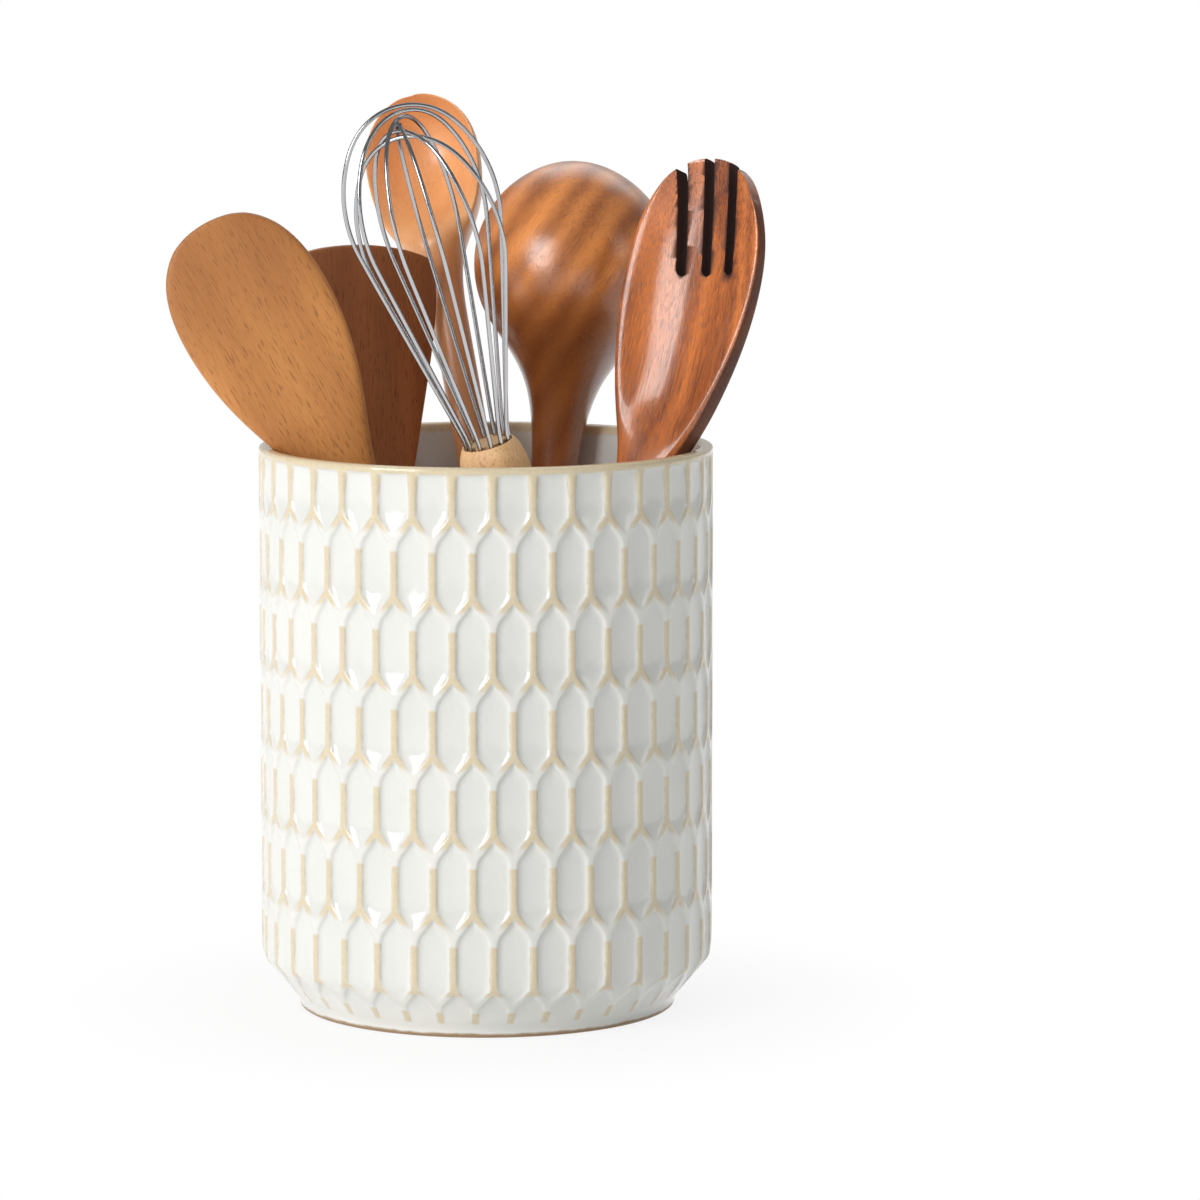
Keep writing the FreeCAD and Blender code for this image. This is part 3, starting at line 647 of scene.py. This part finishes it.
# Each station is its height and radius, then how far out its rim is, how deep its hollow and how
# thick its wall.
deep = drawn_out("deep_spoon_cherry", bowl_section(-1), round_foot(6, 2) + [
    (120, 6), (215, 6), (230, 5.9), (239, 6.5), (246, 8.2), (252, 11.6, 1.5, -9.0, 0.5),
    (258, 15.4, 3, -2.0, 1.5), (264, 18.0, 3, 6.5, 2.4), (272, 19.9, 3, 14.5, 2.8),
    (282, 20.6, 3, 19.5, 3), (290, 19.6, 3, 19.3, 3), (296, 16.6, 3, 16.0, 3),
    (300, 12.6, 3, 11.0, 2.8), (302.7, 8.2, 2.8, 5.0, 2.2), (303.9, 4.4, 2.4, 1.6, 1.2),
    (304.3, 1.2, 1.2, -0.6, 0.2),
], 24)
smoothed(deep, 2)
stand_in(deep, (25.72, -4.34, 10.07), (-0.16698, 0.35287, 0.92065), -20)
# Painted shade: the wood goes darker from the lower bowl down into the neck.
cherry = wooden(
    "cherry", (0, 4, 30), 0.9, (262, 236, 0.5, (0.45, 0.14, 0.04, 1)), 0.36,
    Light=(0.92, 0.45, 0.185, 1), Dark=(0.74, 0.30, 0.105, 1), Pore=(0.40, 0.12, 0.035, 1),
    Ring_Width=13.0, Rings=0.3, Wander=9.0, Fibres=0.4, Pores=0.15, Polish=0.34,
)
dress(deep, cherry, "deep_spoon", "cherry", "deep_spoon")


# The whisk has a turned beech handle with a bored end. A plug in the bore holds six loops of bright
# spring wire, one under the other where they cross at the pole.
WHISK_FOOT, WHISK_ALONG, WHISK_ROLL = (48.91, -26.26, 10.14), (-0.25631, -0.16814, 0.95186), 8
WHISK_END = 188.83
LOOPS, LOOP_STEP = 6, 1.95
WIRE_RADIUS, WIRE_RING = 0.68, 6.6
WIRE_FOOT, WIRE_GRIP, WIRE_KNEE = -19.5, -7.5, 1.2  # from the handle's end up
BALLOON_HEIGHT, BALLOON_HALF = 112, 24.0
POLE_DROP, POLE_RADIUS = 0.8, 20.0
SHOULDER_DROP = 33.0  # from the pole to the balloon's widest part
ARC_STEPS = 8

# Each station is its height and radius, up the outside and then down the bore.
handle = drawn_out("whisk_handle_beech", flat_section, [
    (rise, out, out) for rise, out in [
        (0, 4.6), (0.8, 6.8), (3.8, 8.6), (9, 9.2), (20, 10.3), (34, 11.3), (60, 11.5),
        (120, 11.5), (164, 11.5), (175, 11.45), (180.5, 11.05), (184.4, 10.3), (187.1, 9.3),
        (188.6, 8.35), (188.8, 7.8), (187.5, 7.45), (180, 7.42), (169.8, 7.42), (169.1, 7.1),
    ]
], 24)
smoothed(handle, 2)
stand_in(handle, WHISK_FOOT, WHISK_ALONG, WHISK_ROLL)
handle_beech = wooden(
    "handle_beech", (0, 0, 5), 0.0,
    Light=(0.86, 0.555, 0.295, 1), Dark=(0.64, 0.355, 0.16, 1), Pore=(0.34, 0.16, 0.06, 1),
    Ring_Width=9.0, Rings=0.35, Wander=6.0, Fibres=0.45, Pores=0.5, Polish=0.5,
)
dress(handle, handle_beech, "whisk", "handle_beech", "whisk_handle")


def on_arc(middle, radius, angle):
    """A point of an upright arc, at an angle from +X."""
    return middle + Vector((math.cos(angle), 0, math.sin(angle))) * radius


def wire_path(loop):
    """Round one loop: out of the bore, splayed to the widest part, over the pole and back."""
    top = WHISK_END + BALLOON_HEIGHT - LOOP_STEP * loop - POLE_DROP
    foot, grip, knee = (
        Vector((WIRE_RING, 0, WHISK_END + up)) for up in (WIRE_FOOT, WIRE_GRIP, WIRE_KNEE)
    )
    # The arc of the side stands upright at the widest part and runs into the arc over the pole.
    shoulder = BALLOON_HALF**2 + SHOULDER_DROP**2 - 2 * SHOULDER_DROP * POLE_RADIUS
    shoulder /= 2 * (BALLOON_HALF - POLE_RADIUS)
    middle = Vector((BALLOON_HALF - shoulder, 0, top - SHOULDER_DROP))
    over = Vector((0, 0, top - POLE_RADIUS))
    meet = over + (over - middle).normalized() * POLE_RADIUS
    away = knee - middle
    first = math.atan2(away.z, away.x) + math.acos(shoulder / away.length)
    last = math.atan2(meet.z - middle.z, meet.x - middle.x)
    touch = on_arc(middle, shoulder, first)
    side = [foot, grip, knee] + [knee.lerp(touch, share) for share in (0.1, 0.4, 0.7)]
    for step in range(ARC_STEPS + 1):
        side.append(on_arc(middle, shoulder, first + (last - first) * step / ARC_STEPS))
    start = math.atan2(meet.z - over.z, meet.x)
    crest = [
        on_arc(over, POLE_RADIUS, start + (math.pi - 2 * start) * step / ARC_STEPS)
        for step in range(1, ARC_STEPS)
    ]
    return side + crest + [Vector((-point.x, 0, point.z)) for point in reversed(side)]


steel, tree, shader = finish_of("bright_wire")
place = place_on(tree)
drawn = noise(tree, place, 700, 3)
fill(tree, shader, {
    "Base Color": mixed(
        tree, noise(tree, place, 60), (0.50, 0.51, 0.53, 1), (0.62, 0.62, 0.63, 1)
    ),
    "Roughness": spread(tree, drawn, 0.3, 0.7, 0.10, 0.24),
    "Normal": bumped(tree, drawn, 0.1, 0.0002),
    "Metallic": 1.0, "Specular Tint": (0.2, 0.2, 0.22, 1),
})
for loop in range(LOOPS):
    path = wire_path(loop)
    line = bpy.data.curves.new(f"whisk_loop_{loop + 1}", "CURVE")
    line.dimensions = "3D"
    spline = line.splines.new("NURBS")
    spline.points.add(len(path) - 1)
    turn = Matrix.Rotation(math.pi * loop / LOOPS, 3, "Z")
    for point, bend in zip(spline.points, path):
        point.co = (*(turn @ bend), 1)
    spline.use_endpoint_u = True
    spline.order_u = 4
    line.resolution_u = 3
    line.bevel_depth = WIRE_RADIUS
    line.bevel_resolution = 3
    line.use_fill_caps = True
    wire = bpy.data.objects.new(f"whisk_loop_{loop + 1}", line)
    bpy.context.collection.objects.link(wire)
    alone(wire)
    bpy.ops.object.convert(target="MESH")
    wire = bpy.context.object
    bpy.ops.object.shade_smooth()
    stand_in(wire, WHISK_FOOT, WHISK_ALONG, WHISK_ROLL)
    dress(wire, steel, "whisk", "wire", f"whisk_wire_{loop + 1}")

plug_wood, tree, shader = finish_of("plug_wood")
place = place_on(tree)
fill(tree, shader, {
    "Base Color": mixed(
        tree, noise(tree, place, 900, 4), (0.50, 0.30, 0.14, 1), (0.72, 0.46, 0.24, 1)
    ),
    "Roughness": spread(tree, noise(tree, place, 1500), 0.3, 0.7, 0.45, 0.7),
})
cover(bpy.data.objects["whisk_plug"], plug_wood)


# The ladle is turned and hollowed from one piece of banded acacia and polished. Its round bowl
# opens to the back, so that its outside and its flared neck are to the front.
ladle = drawn_out("ladle_acacia", bowl_section(1), round_foot(7, 2) + [
    (70, 7), (140, 7.1), (160, 7.5), (173, 8.5), (183, 10.4), (191, 13.4), (198, 18.0, 1, -13),
    (204, 23.4, 3, -6, 1), (211, 28.9, 5, 12, 3), (219, 32.6, 5, 29, 4), (228.5, 34.2, 5, 34.6, 4),
    (238, 33.0, 5, 33.5, 4), (247, 28.9, 5, 28.5, 4), (254, 22.8, 5, 21, 4),
    (258.8, 15.8, 5, 12, 3.5), (261.5, 9.4, 5, 5.5, 2.6), (262.5, 5.0, 4.8, 2, 1.4),
    (262.8, 1.6, 3.6, 0, 0.3),
], 32)
smoothed(ladle, 2)
stand_in(ladle, (6.94, 46.15, 9.62), (0.09749, 0.04658, 0.99415), 14)
# Painted shade: the wood goes darker from the bowl's widest part down into the neck.
banded_acacia = wooden(
    "banded_acacia", (0, -32, 20), 1.0, (236, 204, 0.75, (0.19, 0.048, 0.011, 1)), 0.27,
    Light=(0.86, 0.30, 0.068, 1), Dark=(0.31, 0.088, 0.019, 1), Pore=(0.11, 0.03, 0.009, 1),
    Ring_Width=10.0, Rings=0.55, Wander=8.0, Fibres=0.35, Pores=0.25, Polish=0.28,
)
dress(ladle, banded_acacia, "ladle", "banded_acacia", "ladle")


# The fork is a thick piece of red acacia, scooped at the front, with three slots sawn in from the
# tip that leave four tines. It is lacquered to a high gloss.
FORK_NECK, FORK_BLADE = 159.2, 120  # where the blade begins, and its length
FORK_HALF, FORK_THINNED = 6.5, 3  # half its thickness, and what that loses to the tip
FORK_BEND = 16
DISH_REACH, CURL_LEVEL = 0.85, 0.45  # shares of its half width and of its curl
SLOTS, SLOT_WIDTH, SLOT_PITCH = 3, 3.6, 9.1
SLOT_FOOT, SLOT_STEP = 239, 2.2  # each slot starts a step above the one at its left
SLOT_MIDDLE, SLOT_LEAN, SLOT_ROUND = 3.0, 0.2, 0.48
SAW_LENGTH, SAW_DEPTH, SAW_BACK = 60, 90, -10  # of the cutter, and where the middle of its depth is
# Painted shade in the narrow slots and on the fork's side walls: a dark colour, a rougher surface
# and no coat.
SHADE_DARK, SHADE_ROUGH = (0.055, 0.014, 0.007, 1), 0.6
SIDE_SHADE, SIDE_FACING, SIDE_START = 0.85, (0.6, 0.9), (150, 190)


def fork_section(turn, along, half, square=2, bow=0, dish=0, curl=0):
    """A section of the fork, which curls up at its sides, thins and bends forward to its tip."""
    thick = FORK_HALF - FORK_THINNED * max(0, (along - FORK_NECK) / FORK_BLADE)
    reach = DISH_REACH * half
    across, through, rise = flat_section(turn, along, half, thick, square, bow, dish, reach)
    through += curl * (CURL_LEVEL - (across / half)**2)
    return across, through - FORK_BEND * max(0, (rise - FORK_NECK) / FORK_BLADE)**2, rise


# Each station is its height and half width, then how square, bowed, dished and curled it is.
fork = drawn_out("fork_acacia", fork_section, round_foot(FORK_HALF, 2) + [
    (60, 6.5), (130, 6.5), (146, 6.7), (157, 7.6, 2.3), (168, 8.5, 2.8), (175, 9.3, 3.2),
    (182, 11.3, 3.6, 0, 0, 0.5), (189, 14.2, 4, 0, 0.8, 1.5), (197, 17.2, 4.5, 0, 2.2, 3),
    (206, 19.8, 5, 0, 3, 4.5), (217, 22.4, 5, 0, 3, 5.5), (229, 24.2, 5, 0, 2.6, 6),
    (240, 24.7, 5, 0.6, 2, 6), (250, 24.2, 5, 2.6, 1.5, 6), (258, 22.3, 5, 5.6, 1.2, 5.5),
    (264, 19.6, 5, 8.8, 1, 5), (267.4, 17.4, 5, 10.6, 1, 4.6), (268.3, 16.4, 4.5, 10.8, 0.9, 4.4),
], 32)
smoothed(fork, 2)
slots = begin(bpy.ops.mesh.primitive_cube_add, size=1)
slots.name = "fork_slots"
half_way = SLOT_FOOT + SAW_LENGTH / 2
bpy.ops.transform.resize(value=(SLOT_WIDTH, SAW_DEPTH, SAW_LENGTH))
bpy.ops.transform.translate(value=(SLOT_MIDDLE - SLOT_PITCH, SAW_BACK, half_way))
pick(slots, lambda point: point.co.z > half_way)
bpy.ops.transform.translate(value=(-SAW_LENGTH * SLOT_LEAN, 0, 0))
pick(slots, lambda point: point.co.z < half_way)
bpy.ops.mesh.bevel(offset=SLOT_ROUND * SLOT_WIDTH, segments=4, affect="EDGES")
step = (SLOT_PITCH, 0, SLOT_STEP)
finish_by(slots, "ARRAY", count=SLOTS, constant_offset_displace=step, **repeat)
finish_by(fork, "BOOLEAN", object=slots, operation="DIFFERENCE", solver="MANIFOLD")
bpy.data.objects.remove(slots)
rounded = {"limit_method": "ANGLE", "angle_limit": math.radians(50)}
finish_by(fork, "BEVEL", width=0.5, segments=3, **rounded)
alone(fork)
bpy.ops.object.shade_smooth_by_angle(angle=math.radians(40))


def painted_shade(point):
    """Painted shade, dark and dull: 1 in the narrow slots and nearly 1 on the side walls."""
    for index in range(SLOTS):
        above = point.co.z - SLOT_FOOT - index * SLOT_STEP
        aside = point.co.x - SLOT_MIDDLE - (index - 1) * SLOT_PITCH + SLOT_LEAN * above
        if above > -0.4 and abs(aside) < 0.5 * SLOT_WIDTH + 0.05:
            return 1.0
    facing = ramp(*SIDE_FACING, abs(point.normal.x))
    return SIDE_SHADE * facing * ramp(*SIDE_START, point.co.z)


kept_on(fork, "painted_shade", [painted_shade(point) for point in fork.data.vertices])
stand_in(fork, (-5.68, -30.57, 10.01), (0.32424, 0.12641, 0.93749), -35)
red_acacia = wooden(
    "red_acacia", (0, 5, 40), 1.0, haze=0.13,
    Light=(0.86, 0.25, 0.055, 1), Dark=(0.17, 0.036, 0.014, 1), Pore=(0.07, 0.018, 0.008, 1),
    Ring_Width=12.0, Rings=0.45, Wander=26.0, Fibres=0.5, Pores=0.4, Polish=0.24,
)
tree, shader = red_acacia.node_tree, red_acacia.node_tree.nodes["Principled BSDF"]
# The painted shade darkens the slots and the side walls, roughens them and takes their coat off.
shade_here = of_piece(tree, "painted_shade")
coloured = shader.inputs["Base Color"].links[0].from_socket
polish = shader.inputs["Roughness"].links[0].from_socket
fill(tree, shader, {
    "Base Color": mixed(tree, shade_here, coloured, SHADE_DARK),
    "Coat Weight": less(tree, 1, shade_here),
    "Roughness": plus(tree, polish, times(tree, shade_here, SHADE_ROUGH)),
})
dress(fork, red_acacia, "fork", "red_acacia", "fork")


# The room is a plain white table under soft light: a large softbox at the left, a weak one at the
# right, one behind, and a white backdrop that the table fades into.
WHITE = (1, 1, 1, 1)
SHADOW_REACH, SHADOW_WHITE = (0.065, 0.16), (0.86, 1.0)  # the table is white beyond the shadow
LEFT_TONE, RIGHT_TONE = (1, 0.985, 0.955, 1), (0.95, 1, 0.965, 1)
CAMERA_PLACE, CAMERA_LENS = (0, -1.9365, 0.3865), 180.66
CAMERA_TILT, CAMERA_TURN = 7.48, 1.09  # degrees down and to the right

floor = begin(bpy.ops.mesh.primitive_plane_add, size=6)
floor.name = "table"
bpy.ops.mesh.subdivide(number_cuts=4)
bpy.ops.object.mode_set(mode="OBJECT")


def seen_by(tree):
    """1 where a camera or glass looks at this, and then the same with mirrors, and 0 for its light
    on other things."""
    paths = put(tree, "ShaderNodeLightPath").outputs
    seen = sums(tree, "MAXIMUM", paths["Is Camera Ray"], paths["Is Transmission Ray"])
    return seen, sums(tree, "MAXIMUM", seen, paths["Is Glossy Ray"])


table, tree, shader = finish_of("pale_table")
fill(tree, shader, {"Base Color": (0.88, 0.88, 0.88, 1), "Roughness": 0.7})
reach = put(tree, "ShaderNodeVectorMath", {0: place_on(tree)}, operation="LENGTH")
whiter = spread(tree, reach.outputs["Value"], *SHADOW_REACH, *SHADOW_WHITE)
whiter = times(tree, seen_by(tree)[1], whiter)
white_back = put(tree, "ShaderNodeEmission", {"Color": WHITE, "Strength": 1.0}).outputs[0]
both = put(tree, "ShaderNodeMixShader", {0: whiter, 1: shader.outputs[0], 2: white_back})
tree.links.new(both.outputs[0], tree.nodes["Material Output"].inputs["Surface"])
cover(floor, table)


def softbox(name, place, towards, width, height, power):
    """A flat lamp, in metres and watts, that is turned towards a place."""
    lamp = bpy.data.lights.new(name, "AREA")
    lamp.shape, lamp.size, lamp.size_y, lamp.energy = "RECTANGLE", width, height, power
    holder = bpy.data.objects.new(name, lamp)
    holder.location = place
    aim = Vector(towards) - Vector(place)
    holder.rotation_euler = aim.to_track_quat("-Z", "Y").to_euler()
    bpy.context.collection.objects.link(holder)


softbox("key", (-1.55, -1.45, 0.8), (0, 0, 0.15), 1.0, 1.2, 28)
softbox("fill", (1.9, -1.0, 0.9), (0, 0, 0.15), 0.7, 0.9, 2.5)
softbox("back", (0.4, 1.8, 1.9), (0, 0, 0.2), 2.0, 1.4, 8)
world = bpy.data.worlds.new("room")
bpy.context.scene.world = world
world.use_nodes = True
tree = world.node_tree
straight, seen = seen_by(tree)
aim = parts_of(tree, put(tree, "ShaderNodeTexCoord").outputs["Generated"])
bright = sums(tree, "MAXIMUM", straight, spread(tree, aim["Y"], 0.35, 0.8, 0.16, 0.5))
from_left = spread(tree, aim["X"], -0.7, 0.8, 0.56, 0.26)
soft = plus(tree, from_left, spread(tree, aim["Z"], 0.4, 1.0, 0, 0.35))
tone = mixed(tree, spread(tree, aim["X"], -0.3, 0.8), LEFT_TONE, RIGHT_TONE)
ambient = put(tree, "ShaderNodeBackground", {"Color": tone, "Strength": soft}).outputs[0]
white_back = put(tree, "ShaderNodeBackground", {"Color": WHITE, "Strength": bright}).outputs[0]
both = put(tree, "ShaderNodeMixShader", {0: seen, 1: ambient, 2: white_back})
tree.links.new(both.outputs[0], tree.nodes["World Output"].inputs["Surface"])

view = bpy.data.cameras.new("photo_view")
view.lens, view.sensor_width = CAMERA_LENS, 36
camera = bpy.data.objects.new("photo_view", view)
camera.location = CAMERA_PLACE
camera.rotation_euler = (math.radians(90 - CAMERA_TILT), 0, -math.radians(CAMERA_TURN))
bpy.context.collection.objects.link(camera)
bpy.context.scene.camera = camera
bpy.context.scene.view_settings.view_transform = "Standard"
